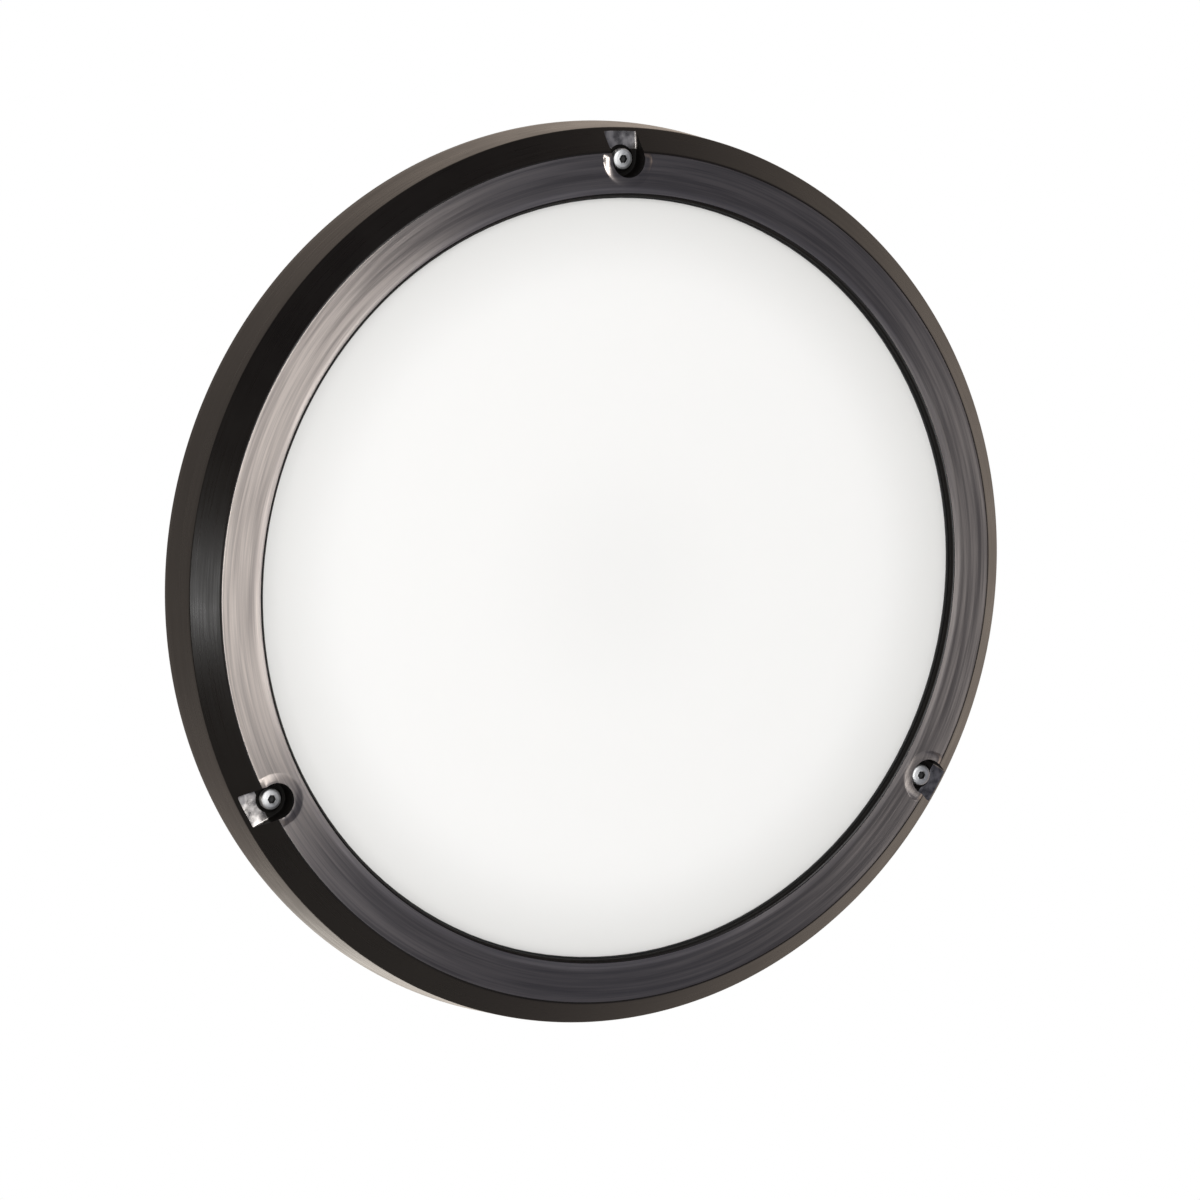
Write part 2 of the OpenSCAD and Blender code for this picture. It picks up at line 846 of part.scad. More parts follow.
// Driver: an open case with ears, a board on four posts and a lid
module driver_case() {
  inner_l = driver_l - 2 * driver_wall;
  inner_w = driver_w - 2 * driver_wall;
  color("#e9e9e6")
    lamp()
      difference() {
        union() {
          translate([driver_pos[0], driver_pos[1], platform_z])
            difference() {
              rounded_box([driver_l, driver_w, driver_h], driver_corner);
              translate([0, 0, driver_wall])
                rounded_box([inner_l, inner_w, driver_h], driver_corner / 2);
            }
          for (sx = [-1, 1], sy = [-1, 1])
            translate([
              driver_pos[0] + sx * (inner_l / 2 - post_d),
              driver_pos[1] + sy * (inner_w / 2 - post_d),
              platform_z + driver_wall - eps
            ])
              cylinder(d = post_d, h = post_h + eps, $fn = 32);
          at_ears()
            translate([-ear_l / 2 - eps, -ear_w / 2, platform_z])
              cube([ear_l + 2 * eps, ear_w, ear_t]);
        }
        at_ears() hole(m3_d + 2 * hole_gap, platform_z - eps, platform_z + ear_t + eps);
      }
}

module driver_lid() {
  inner_l = driver_l - 2 * driver_wall - 2 * pocket_gap;
  inner_w = driver_w - 2 * driver_wall - 2 * pocket_gap;
  color("#dcdcd8")
    lamp()
      translate([driver_pos[0], driver_pos[1], driver_top_z]) {
        rounded_box([driver_l, driver_w, driver_lid_t], driver_corner);
        translate([0, 0, -0.6])
          difference() {
            rounded_box([inner_l, inner_w, 0.6 + eps], driver_corner / 2);
            translate([0, 0, -eps])
              rounded_box([inner_l - 2, inner_w - 2, 0.6 + eps], driver_corner / 2);
          }
      }
}

module driver_board() {
  length = driver_l - 2 * driver_wall - 2 * driver_board_margin;
  width = driver_w - 2 * driver_wall - 2 * driver_board_margin;
  color("#2f6b45")
    lamp()
      translate([driver_pos[0], driver_pos[1], driver_board_z])
        rounded_box([length, width, board_t], 1);
}

module driver_transformer() {
  core_h = transformer_size[2] - 2;
  color("#30302f")
    lamp()
      translate([driver_pos[0] + transformer_x, driver_pos[1], driver_board_top]) {
        rounded_box([transformer_size[0], transformer_size[1] - 4, transformer_size[2]], 1);
        rounded_box([transformer_size[0] - 6, transformer_size[1], core_h], 1);
      }
}

module driver_capacitors() {
  color("#27303f")
    lamp()
      for (side = [-1, 1])
        translate([driver_pos[0] + capacitor_x, driver_pos[1] + side * (capacitor_d + 1), driver_board_top])
          translate([0, 0, capacitor_d / 2])
            rotate([0, 90, 0])
              cylinder(d = capacitor_d, h = capacitor_l, $fn = 48);
}

module driver_screws() {
  color("#c4c6c8")
    lamp()
      at_ears()
        translate([0, 0, platform_z + ear_t])
          small_screw(m3_d, platform_z + ear_t - blind_z - tip_gap, m3_head_d, m3_head_h);
}

// Terminals
module along_pole(d, length) {
  translate([0, length / 2, pole_z])
    rotate([90, 0, 0])
      cylinder(d = d, h = length, $fn = 48);
}

module terminal_block() {
  top = platform_z + terminal_size[2];
  color("#ecece8")
    lamp()
      difference() {
        translate([terminal_pos[0], terminal_pos[1], platform_z])
          rounded_box(terminal_size, 1.5);
        at_poles() {
          along_pole(pole_d, terminal_size[1] + 2 * eps);
          hole(clamp_screw_d + 2 * hole_gap, pole_z, top + eps);
        }
        translate(fix_pos) {
          hole(fix_d + 2 * hole_gap, platform_z - eps, top + eps);
          hole(fix_head_d + 2 * hole_gap, top - fix_head_h - 1, top + eps);
        }
      }
}

module terminal_clamps() {
  color("#c9a24a")
    lamp()
      at_poles()
        difference() {
          along_pole(clamp_d, clamp_l);
          along_pole(clamp_bore_d, clamp_l + 2 * eps);
          hole(clamp_screw_d + 2 * thread_gap, pole_z, pole_z + pole_d);
        }
}

module terminal_screws() {
  top = platform_z + terminal_size[2] - 0.6;
  color("#c9a24a")
    lamp()
      at_poles()
        difference() {
          hole(clamp_screw_d, top - clamp_screw_l, top);
          translate([-clamp_screw_d, -m3_slot / 2, top - 1])
            cube([2 * clamp_screw_d, m3_slot, 1 + eps]);
        }
}

module terminal_fixing_screw() {
  seat = platform_z + terminal_size[2] - fix_head_h - 1;
  color("#c4c6c8")
    lamp()
      translate([fix_pos[0], fix_pos[1], seat])
        small_screw(fix_d, seat - blind_z - tip_gap, fix_head_d, fix_head_h);
}

module earth_terminal() {
  color("#c8cacc")
    lamp()
      {
        translate([earth_pos[0], earth_pos[1], 0])
          ring(ring_d / 2, earth_d / 2 + pocket_gap, platform_z, platform_z + ring_t);
        translate([earth_pos[0], barrel_end_y, barrel_z])
          rotate([-90, 0, 0])
            difference() {
              cylinder(d = barrel_d, h = barrel_l + 1, $fn = 48);
              translate([0, 0, -eps])
                cylinder(d = lead_d + 2 * hole_gap, h = lead_in + 2 * eps, $fn = 48);
            }
      }
}

module earth_screw() {
  seat = platform_z + ring_t;
  color("#c9a24a")
    lamp()
      translate([earth_pos[0], earth_pos[1], seat])
        small_screw(earth_d, seat - blind_z - tip_gap, earth_head_d, earth_head_h);
}

// Leads
module live_lead() {
  color("#6b4226") lamp() lead(live_route);
}

module neutral_lead() {
  color("#2e5fa3") lamp() lead(neutral_route);
}

module earth_lead() {
  color("#6f9a2e") lamp() lead(earth_route);
}

module led_positive_lead() {
  color("#b3262b") lamp() lead(led_positive_route);
}

module led_negative_lead() {
  color("#222222") lamp() lead(led_negative_route);
}

bezel();
diffuser();
bezel_screws();
base_pan();
lens_gasket();
rim_seal();
screw_seals();
wall_gasket();
cable_grommet();
fixing_seals();
led_board();
led_emitters();
thermal_pad();
board_screws();
led_connector();
gear_cover();
gear_cover_screws();
driver_case();
driver_lid();
driver_board();
driver_transformer();
driver_capacitors();
driver_screws();
terminal_block();
terminal_clamps();
terminal_screws();
terminal_fixing_screw();
earth_screw();
earth_terminal();
live_lead();
neutral_lead();
earth_lead();
led_positive_lead();
led_negative_lead();
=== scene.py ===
import math

import bmesh
import bpy
from mathutils import Matrix, Vector


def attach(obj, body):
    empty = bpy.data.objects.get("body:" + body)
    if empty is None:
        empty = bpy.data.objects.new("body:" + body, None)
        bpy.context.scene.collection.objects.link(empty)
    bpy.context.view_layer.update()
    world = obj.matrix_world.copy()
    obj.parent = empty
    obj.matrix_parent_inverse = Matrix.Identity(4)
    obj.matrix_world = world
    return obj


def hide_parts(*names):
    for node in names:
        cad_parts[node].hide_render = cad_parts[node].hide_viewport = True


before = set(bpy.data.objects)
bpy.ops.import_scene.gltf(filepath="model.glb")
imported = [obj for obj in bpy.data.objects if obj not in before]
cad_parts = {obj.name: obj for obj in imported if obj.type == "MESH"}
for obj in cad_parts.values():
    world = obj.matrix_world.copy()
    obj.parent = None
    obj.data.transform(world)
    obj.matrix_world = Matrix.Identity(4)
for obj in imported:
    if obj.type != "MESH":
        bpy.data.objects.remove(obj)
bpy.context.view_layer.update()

BODY = "root"

# Lengths are in millimetres in the lamp's own frame: r from its axis, z from the wall to the front
MM = 0.001

# Bezel
RIM_R = 151.24
RIM_Z = 0.5
WALL_TOP_R = 150.0
WALL_TOP_Z = 18.2
FACE_R = 142.2
FACE_Z = 26.0
LIP_R = 127.4
LIP_Z = 27.3
SEAT_Z = 24.5
POCKET_R = 131.65
POCKET_OUT_R = 133.45
POCKET_Z = 20.9
SHELL = 3.0
CHAMFER = math.radians(45)
FACE_SLOPE = math.atan2(LIP_Z - FACE_Z, FACE_R - LIP_R)

# Rounding of the bezel's edges
RIM_EDGE = 0.3
WALL_EDGE = 0.8
FACE_EDGE = 1.8
LIP_EDGE = 1.4
SEAT_EDGE = 0.15
POCKET_EDGE = 0.2

# Mesh of the bezel: steps round the lamp and round an edge, longest cells in front and behind
BEZEL_STEPS = 384
EDGE_STEPS = 8
FRONT_CELL = 0.42
BACK_CELL = 2.5
BEZEL_SHARP = math.radians(24)

# Limits that tell the lip, the face band and the chamfer from the rest of the bezel's outline
LIP_FOOT_Z = SEAT_Z - 0.2
BAND_FOOT_Z = FACE_Z - 0.9
FRONT_FOOT_Z = FACE_Z - 0.5
CHAMFER_SUM = FACE_R + FACE_Z - 1.5

# Steepest brushed slope on the face and on the lip, and the slope from which the lip is black
BRUSHED_SLOPE = math.radians(16)
BRUSHED_LIP_SLOPE = math.radians(10)
BLACK_LIP_SLOPE = math.radians(45)

# Gussets behind the face band
GUSSET_COUNT = 12
GUSSET_T = 2.0
GUSSET_SINK = 0.5
GUSSET_FOOT = 6.0
GUSSET_CORNER = 1.2

# Screw notches; x runs outwards from a screw's axis
SCREW_R = 139.65
SCREW_ANGLES = [math.radians(a) for a in (90, 210, 330)]
NOTCH_D = 12.0
NOTCH_FLOOR_Z = 19.4
NOTCH_FILLET = 0.5
LEDGE_X = 4.5
OUTLET_X = 9.15
BARE_X = LEDGE_X - 1
DRAIN = math.radians(10.0)
SPOT_D = 9.4
SPOT_H = 1.6
NOTCH_SPAN = math.radians(4.2)
NOTCH_ZONE = NOTCH_SPAN * 1.02
NOTCH_STEPS = 84
FILLET_STEPS = 6
SIDE_STEPS = 24
ARC_STEPS = 81
CUTTER_REACH = 20.0
CUTTER_TOP_Z = LIP_Z + 10

# Collars round the notches
COLLAR_W = 3.0
COLLAR_TOP_W = 0.8
COLLAR_H = 0.8
COLLAR_ROUND = 0.55
COLLAR_TILT = 0.045
COLLAR_FADE = 2.0

# Bosses that take the screws, kept inside the bezel's surface
BOSS_D = 15.4
BOSS_Z = 15.8
BOSS_COVER = 1.0
BOSS_CORNER_COVER = 0.4
BOSS_LOW_Z = 10.0
COVER_STEPS = 192
SCREW_HOLE_D = 4.5
HOLE_LOW_Z = BOSS_Z - 1
HOLE_TOP_Z = NOTCH_FLOOR_Z + 0.4
POST_STEPS = 64

# Bezel screws
SCREW_D = 4.0
SCREW_TIP_Z = 7.8
TIP_CHAMFER = 0.5
THREAD_Z = SCREW_TIP_Z + 0.6
THREAD_LENGTH = BOSS_Z - 1 - SCREW_TIP_Z
THREAD_PITCH = 0.7
THREAD_DEPTH = 0.3
SHANK_Z = BOSS_Z - 0.5
HEAD_D = 7.0
HEAD_H = 2.8
HEAD_Z = 20.2
HEAD_FOOT = 0.15
HEAD_EDGE = 0.5
HEAD_EDGE_TURN = math.radians(81)
HEAD_EDGE_STEPS = 6
HEAD_CROWN = 0.45
HEAD_CROWN_RINGS = (0.80, 0.70, 0.60, 0.52)
SCREW_STEPS = 48
SCREW_SHARP = math.radians(30)

# Hexagon socket: its width across flats, then each ring's share of that width and depth below the head's top
SOCKET_AF = 2.5
SOCKET_MOUTH = ((1.14, 0.06), (1.0, 0.22))
SOCKET_FLOOR = ((1.0, 1.6), (0.6, 1.75), (0.1, 2.0))

# Diffuser
DIFFUSER_R = 131.0
DIFFUSER_FRONT = 23.7
DIFFUSER_BACK = 20.9
DIFFUSER_FRONT_EDGE = 0.5
DIFFUSER_BACK_EDGE = 0.4
CROWN = 3.5
CROWN_R = 126.6
CROWN_BACK_R = 125.0
CROWN_STEPS = 28
DIFFUSER_AXIS_R = 0.02
DIFFUSER_STEPS = 240
DIFFUSER_SHARP = math.radians(35)

# Camera and stage, in metres in the shared frame
CAMERA_PLACE = (-1.07165, -2.16279, 0.25868)
CAMERA_AIM = (-0.00520, -0.02600, -0.00653)
CAMERA_ROLL = math.radians(-1.764)
CAMERA_LENS = 217.2
CAMERA_SENSOR = 36
FLOOR_Z = -0.42
FLOOR_HALF = 0.75

# Soft boxes: azimuth, elevation and distance, then width and height, then brightness, where 1 is white
SOFT_BOXES = {
    "front_box": ((-10, 9.0, 2.0), (0.60, 2.70), 4.2),
    "side_strip": ((-67, -7, 1.5), (0.30, 0.30), 6.0),
}


# Geometry helpers

def lamp_point(r, angle, z):
    return Vector((r * math.cos(angle), -z, r * math.sin(angle))) * MM


def screw_point(angle, x, y, z):
    """A point near a screw: x outwards from its axis, y round the lamp."""
    out = Vector((math.cos(angle), 0, math.sin(angle)))
    side = Vector((-math.sin(angle), 0, math.cos(angle)))
    return (out * (SCREW_R + x) + side * y + Vector((0, -z, 0))) * MM


def corner(before, at, after, steps):
    """Points of one rounded corner; each input is (x, y, radius)."""
    place = Vector(at[:2])
    radius = at[2]
    if radius == 0:
        return [place]
    u = (Vector(before[:2]) - place).normalized()
    v = (Vector(after[:2]) - place).normalized()
    half = u.angle(v) / 2
    centre = place + (u + v).normalized() * radius / math.sin(half)
    start = place + u * radius / math.tan(half) - centre
    end = place + v * radius / math.tan(half) - centre
    turn = start.angle_signed(end)
    return [centre + Matrix.Rotation(-turn * i / steps, 2) @ start for i in range(steps + 1)]


def rounded(points, steps=5):
    """The closed outline of (x, y, radius) points with its corners rounded."""
    count = len(points)
    outline = []
    for i, point in enumerate(points):
        outline += corner(points[i - 1], point, points[(i + 1) % count], steps)
    return outline


def divided(points, longest):
    """The closed outline with each edge cut so that no piece is longer than longest(its middle)."""
    out = []
    for i, a in enumerate(points):
        b = points[(i + 1) % len(points)]
        pieces = max(1, math.ceil((b - a).length / longest((a + b) / 2)))
        out += [a.lerp(b, k / pieces) for k in range(pieces)]
    return out


def clamp(value):
    return min(1.0, max(0.0, value))


def smooth(value):
    share = clamp(value)
    return share * share * (3 - 2 * share)


def even_angles(steps):
    return [2 * math.pi * i / steps for i in range(steps)]


def make_mesh(name, verts, faces, materials=(), indices=None):
    mesh = bpy.data.meshes.new(name)
    mesh.from_pydata([tuple(v) for v in verts], [], faces)
    for material in materials:
        mesh.materials.append(material)
    if indices is not None:
        mesh.polygons.foreach_set("material_index", indices)
    bm = bmesh.new()
    bm.from_mesh(mesh)
    bmesh.ops.recalc_face_normals(bm, faces=bm.faces)
    bm.to_mesh(mesh)
    bm.free()
    piece = bpy.data.objects.new(name, mesh)
    bpy.context.scene.collection.objects.link(piece)
    return piece


def shade(piece, angle):
    """Smooth shading, with the edges above the angle kept sharp."""
    for polygon in piece.data.polygons:
        polygon.use_smooth = True
    piece.data.set_sharp_from_angle(angle=angle)


def revolve(name, outline, angles, materials=(), pick=None, lift=None):
    """A closed ring; pick(a, b) gives a band's material index, lift(p, angle) a rise along the normal."""
    count = len(outline)
    normals = []
    for k in range(count):
        along = outline[(k + 1) % count] - outline[k - 1]
        normals.append(Vector((along.y, -along.x)).normalized())
    verts = []
    faces = []
    indices = []
    for i, angle in enumerate(angles):
        for p, normal in zip(outline, normals):
            place = p + normal * lift(p, angle) if lift else p
            verts.append(lamp_point(place.x, angle, place.y))
        near = i * count
        far = (i + 1) % len(angles) * count
        for k in range(count):
            m = (k + 1) % count
            faces.append((near + k, near + m, far + m, far + k))
            indices.append(pick(outline[k], outline[m]) if pick else 0)
    return make_mesh(name, verts, faces, materials, indices)


def loft(rings, kinds=None):
    """Vertices, faces and material indices between rings of equal length, closed at both ends."""
    count = len(rings[0])
    kinds = kinds or [0] * (len(rings) - 1)
    verts = [v for ring in rings for v in ring]
    faces = []
    indices = []
    for i, kind in enumerate(kinds):
        near = i * count
        for k in range(count):
            m = (k + 1) % count
            faces.append((near + k, near + m, near + count + m, near + count + k))
            indices.append(kind)
    last = (len(rings) - 1) * count
    for k in range(count // 2 - 1):
        quad = (k, k + 1, count - 2 - k, count - 1 - k)
        faces.append(quad)
        faces.append(tuple(last + q for q in reversed(quad)))
        indices += [kinds[0], kinds[-1]]
    return verts, faces, indices


def joined(name, shapes, materials):
    """One mesh of several lofts."""
    verts = []
    faces = []
    indices = []
    for more_verts, more_faces, more_indices in shapes:
        base = len(verts)
        verts += more_verts
        faces += [tuple(base + i for i in face) for face in more_faces]
        indices += more_indices
    return make_mesh(name, verts, faces, materials, indices)


def apply_boolean(piece, tool, operation):
    """Cut or join the piece with the tool, which is used up."""
    change = piece.modifiers.new(operation.lower(), "BOOLEAN")
    change.operation = operation
    change.solver = "EXACT"
    change.material_mode = "INDEX"
    change.object = tool
    bpy.context.view_layer.update()
    graph = bpy.context.evaluated_depsgraph_get()
    mesh = bpy.data.meshes.new_from_object(piece.evaluated_get(graph))
    piece.modifiers.clear()
    old = piece.data
    piece.data = mesh
    bpy.data.meshes.remove(old)
    bpy.data.objects.remove(tool)


# Node helpers

class NodeTree:
    """Short calls for the nodes of a material or of the world."""

    def __init__(self, tree):
        self.tree = tree

    def feed(self, socket, value):
        """Link another node's output to a socket, or set a number, a vector or a colour on it."""
        if isinstance(value, bpy.types.NodeSocket):
            self.tree.links.new(value, socket)
        elif socket.type == "RGBA":
            socket.default_value = (*value, 1)
        else:
            socket.default_value = value

    def node(self, kind, inputs=(), **settings):
        node = self.tree.nodes.new(kind)
        for key, value in settings.items():
            setattr(node, key, value)
        for socket, value in inputs:
            self.feed(node.inputs[socket], value)
        return node

    def calc(self, operation, a, b=0.0):
        return self.node("ShaderNodeMath", [(0, a), (1, b)], operation=operation).outputs[0]

    def dot(self, a, b):
        node = self.node("ShaderNodeVectorMath", [(0, a), (1, b)], operation="DOT_PRODUCT")
        return node.outputs["Value"]

    def ramp(self, value, start, end, low=0.0, high=1.0):
        """Smooth change from low to high while the value goes from start to end."""
        inputs = [
            ("Value", value),
            ("From Min", start),
            ("From Max", end),
            ("To Min", low),
            ("To Max", high),
        ]
        return self.node("ShaderNodeMapRange", inputs, interpolation_type="SMOOTHSTEP").outputs["Result"]

    def mix(self, factor, a, b):
        """Colour from a to b; the Mix node has its colour sockets after those for numbers and vectors."""
        return self.node("ShaderNodeMix", [(0, factor), (6, a), (7, b)], data_type="RGBA").outputs[2]


class Finish(NodeTree):
    """A node material with one Principled shader."""

    def __init__(self, name, **values):
        self.material = bpy.data.materials.new(name)
        self.material.use_nodes = True
        super().__init__(self.material.node_tree)
        self.shader = self.tree.nodes["Principled BSDF"]
        for socket, value in values.items():
            self.set(socket.replace("_", " "), value)

    def set(self, socket, value):
        self.feed(self.shader.inputs[socket], value)

    def place(self):
        return self.node("ShaderNodeTexCoord").outputs["Object"]

    def component(self, axis):
        """One component of the place, in millimetres."""
        split = self.node("ShaderNodeSeparateXYZ", [(0, self.place())])
        return self.calc("MULTIPLY", split.outputs[axis], 1 / MM)

    def radius(self):
        """Distance from the lamp's axis, in millimetres."""
        x = self.component("X")
        z = self.component("Z")
        squares = self.calc("ADD", self.calc("MULTIPLY", x, x), self.calc("MULTIPLY", z, z))
        return self.calc("SQRT", squares)

    def blend(self, *parts):
        """Sum of values, each given with its weight."""
        total = 0.0
        for value, weight in parts:
            total = self.calc("ADD", total, self.calc("MULTIPLY", value, weight))
        return total

    def noise(self, vector, scale, detail):
        inputs = [("Vector", vector), ("Scale", scale), ("Detail", detail)]
        return self.node("ShaderNodeTexNoise", inputs).outputs["Fac"]

    def streaks(self, across, fineness, length, detail=3.0):
        """Noise drawn out round the axis: lines per millimetre across, and features round the ring."""
        stretch = self.calc("DIVIDE", length, self.radius())
        inputs = [
            (0, self.calc("MULTIPLY", self.component("X"), stretch)),
            (1, self.calc("MULTIPLY", self.component("Z"), stretch)),
            (2, self.calc("MULTIPLY", across, fineness)),
        ]
        return self.noise(self.node("ShaderNodeCombineXYZ", inputs).outputs[0], scale=1.0, detail=detail)

    def bump(self, height, strength, depth):
        """Relief with its depth in millimetres."""
        inputs = [("Height", height), ("Strength", strength), ("Distance", depth * MM)]
        self.set("Normal", self.node("ShaderNodeBump", inputs).outputs[0])


# Finishes of the bezel, with the dark and the light end of each colour

BRONZE_TONES = (0.0050, 0.0037, 0.0029), (0.0095, 0.0070, 0.0054)
WORN_TONES = (0.42, 0.372, 0.342), (0.70, 0.622, 0.565)
LIP_HIGHLIGHT_TONES = (0.66, 0.585, 0.54), (0.98, 0.88, 0.80)
NOTCH_TONES = (0.40, 0.375, 0.355), (0.78, 0.735, 0.70)
BLACK_TONES = (0.004, 0.0035, 0.003), (0.009, 0.0075, 0.0065)

# The band's colour is lightened towards the lip between these radii, a painted highlight along the lip's
# edge
HIGHLIGHT_OUTER_R = LIP_R + 4.0
HIGHLIGHT_INNER_R = LIP_R + 2.6


def satin_bronze():
    """Dark satin coat, with faint clouds and lines round the axis in its gloss."""
    finish = Finish("satin_bronze", Metallic=0.0, IOR=1.5)
    place = finish.place()
    cloud = finish.noise(place, scale=60.0, detail=4.0)
    along_chamfer = finish.calc("ADD", finish.radius(), finish.component("Y"))
    lines = finish.streaks(along_chamfer, fineness=1.1, length=3.0)
    wear = finish.blend((cloud, 0.4), (lines, 0.6))
    finish.set("Base Color", finish.mix(cloud, *BRONZE_TONES))
    finish.set("Roughness", finish.ramp(wear, 0.3, 0.7, low=0.24, high=0.37))
    finish.bump(finish.noise(place, scale=1400.0, detail=2.0), strength=0.35, depth=0.012)
    return finish.material


def brushed_band():
    """Brushed round the axis, with a painted highlight: the colour gets lighter towards the lip."""
    finish = Finish("brushed_band", Metallic=1.0, Anisotropic=0.85, Anisotropic_Rotation=0.25)
    finish.set("Tangent", finish.node("ShaderNodeTangent", direction_type="RADIAL", axis="Y").outputs[0])
    radius = finish.radius()
    broad = finish.streaks(radius, fineness=0.45, length=2.0, detail=2.0)
    coarse = finish.streaks(radius, fineness=1.3, length=3.5)
    fine = finish.streaks(radius, fineness=6.0, length=7.0)
    lines = finish.blend((broad, 0.45), (coarse, 0.3), (fine, 0.25))
    tone = finish.ramp(lines, 0.36, 0.64)
    worn = finish.mix(tone, *WORN_TONES)
    # Painted highlight: a lighter colour on the ring next to the lip
    painted_highlight = finish.mix(tone, *LIP_HIGHLIGHT_TONES)
    finish.set("Base Color", finish.mix(finish.ramp(radius, HIGHLIGHT_OUTER_R, HIGHLIGHT_INNER_R), worn, painted_highlight))
    finish.set("Roughness", finish.ramp(lines, 0.35, 0.65, low=0.28, high=0.365))
    finish.bump(fine, strength=0.25, depth=0.02)
    return finish.material


def notch_metal():
    """Bare cast metal, wavy and mottled."""
    finish = Finish("notch_metal", Metallic=1.0)
    place = finish.place()
    cloud = finish.noise(place, scale=340.0, detail=2.0)
    finish.set("Base Color", finish.mix(finish.ramp(cloud, 0.36, 0.64), *NOTCH_TONES))
    finish.set("Roughness", finish.ramp(cloud, 0.25, 0.75, low=0.26, high=0.34))
    finish.bump(finish.noise(place, scale=300.0, detail=1.5), strength=0.6, depth=0.30)
    return finish.material


def matt_black():
    finish = Finish("matt_black", Roughness=0.55, Specular_IOR_Level=0.12)
    place = finish.place()
    finish.set("Base Color", finish.mix(finish.noise(place, scale=400.0, detail=3.0), *BLACK_TONES))
    finish.bump(finish.noise(place, scale=2200.0, detail=2.0), strength=0.25, depth=0.012)
    return finish.material


# Bezel, with the places of its materials in the mesh

BRONZE, BRUSHED, NOTCH, BLACK = range(4)


def bezel_band(a, b):
    """Material index of the band between two points of the bezel's outline."""
    middle = (a + b) / 2
    slope = math.atan2(abs(b.y - a.y), abs(b.x - a.x))
    on_lip = middle.x < LIP_R + LIP_EDGE and middle.y > LIP_FOOT_Z
    if on_lip and slope > BLACK_LIP_SLOPE:
        return BLACK
    on_face = middle.y > BAND_FOOT_Z
    brushed = slope < (BRUSHED_LIP_SLOPE if on_lip else BRUSHED_SLOPE)
    return BRUSHED if on_face and brushed else BRONZE


def bezel_outline():
    rise = (FACE_R - POCKET_OUT_R) * math.tan(FACE_SLOPE)
    knee = SHELL * math.tan(CHAMFER / 2)
    points = rounded([
        (RIM_R, RIM_Z, RIM_EDGE),
        (WALL_TOP_R, WALL_TOP_Z, WALL_EDGE),
        (FACE_R, FACE_Z, FACE_EDGE),
        (LIP_R, LIP_Z, LIP_EDGE),
        (LIP_R, SEAT_Z, SEAT_EDGE),
        (POCKET_R, SEAT_Z, 0),
        (POCKET_R, POCKET_Z, POCKET_EDGE),
        (POCKET_OUT_R, POCKET_Z, POCKET_EDGE),
        (POCKET_OUT_R, FACE_Z + rise - SHELL, 0),
        (FACE_R - knee, FACE_Z - SHELL, 0),
        (WALL_TOP_R - SHELL, WALL_TOP_Z - knee, 0),
        (RIM_R - SHELL, RIM_Z, RIM_EDGE),
    ], EDGE_STEPS)
    return divided(points, lambda p: FRONT_CELL if on_front(p) else BACK_CELL)


def on_front(p):
    """Whether a point of the outline lies on the chamfer or on the face band."""
    on_chamfer = p.x + p.y > CHAMFER_SUM and p.y > WALL_TOP_Z
    return on_chamfer or p.y > FRONT_FOOT_Z


def ring_angles():
    """Angles round the bezel, close together at the screw notches."""
    angles = [angle for angle in even_angles(BEZEL_STEPS) if abs(from_screw(angle)) > NOTCH_ZONE]
    for at in SCREW_ANGLES:
        angles += [at + NOTCH_SPAN * (2 * k / NOTCH_STEPS - 1) for k in range(NOTCH_STEPS + 1)]
    return sorted(angles)


def from_screw(angle):
    """Angle from the nearest screw."""
    turns = [(angle - at + math.pi) % (2 * math.pi) - math.pi for at in SCREW_ANGLES]
    return min(turns, key=abs)


def notch_relief(p, angle):
    """Rise of the face band: a collar round each notch, nearly level on top and rounded outside."""
    turn = from_screw(angle)
    if abs(turn) > NOTCH_ZONE or not on_front(p):
        return 0.0
    x = p.x * math.cos(turn) - SCREW_R
    y = abs(p.x * math.sin(turn))
    off = (y if x > 0 else math.hypot(x, y)) - NOTCH_D / 2
    fall = clamp((off - COLLAR_TOP_W) / (COLLAR_W - COLLAR_TOP_W))
    fall *= 1 - COLLAR_ROUND * (1 - fall)
    height = COLLAR_H + COLLAR_TILT * (p.x - SCREW_R)
    return height * (1 - fall) * smooth((FACE_R - p.x) / COLLAR_FADE)


def u_outline(half, reach):
    """The notch's plan: a half circle towards the lamp's axis and two straight sides outwards."""
    runs = [reach * k / SIDE_STEPS for k in range(SIDE_STEPS, 0, -1)]
    side = [Vector((x, -half)) for x in runs]
    turns = [math.pi / 2 + math.pi * k / ARC_STEPS for k in range(ARC_STEPS + 1)]
    arc = [Vector((half * math.cos(t), -half * math.sin(t))) for t in turns]
    back = [Vector((x, half)) for x in reversed(runs)]
    return side + arc + back


def notch_floor(x):
    """The floor falls from a ledge round the head to its edge in the chamfer."""
    return NOTCH_FLOOR_Z + math.tan(DRAIN) * max(0, OUTLET_X - max(x, LEDGE_X))


def notch_cutter(angle):
    """What a notch takes away, bare metal on the floor of its outlet and black elsewhere."""
    rings = []
    for k in range(FILLET_STEPS + 1):
        turn = math.pi / 2 * k / FILLET_STEPS
        plan = u_outline(NOTCH_D / 2 + NOTCH_FILLET * (math.sin(turn) - 1), CUTTER_REACH)
        rise = NOTCH_FILLET * (1 - math.cos(turn))
        rings.append([screw_point(angle, p.x, p.y, notch_floor(p.x) + rise) for p in plan])
    plan = u_outline(NOTCH_D / 2, CUTTER_REACH)
    rings.append([screw_point(angle, p.x, p.y, CUTTER_TOP_Z) for p in plan])
    verts, faces, indices = loft(rings, [NOTCH] * FILLET_STEPS + [BLACK])
    for i, face in enumerate(faces):
        if max(plan[v % len(plan)].x for v in face) < BARE_X:
            indices[i] = BLACK
    return verts, faces, indices


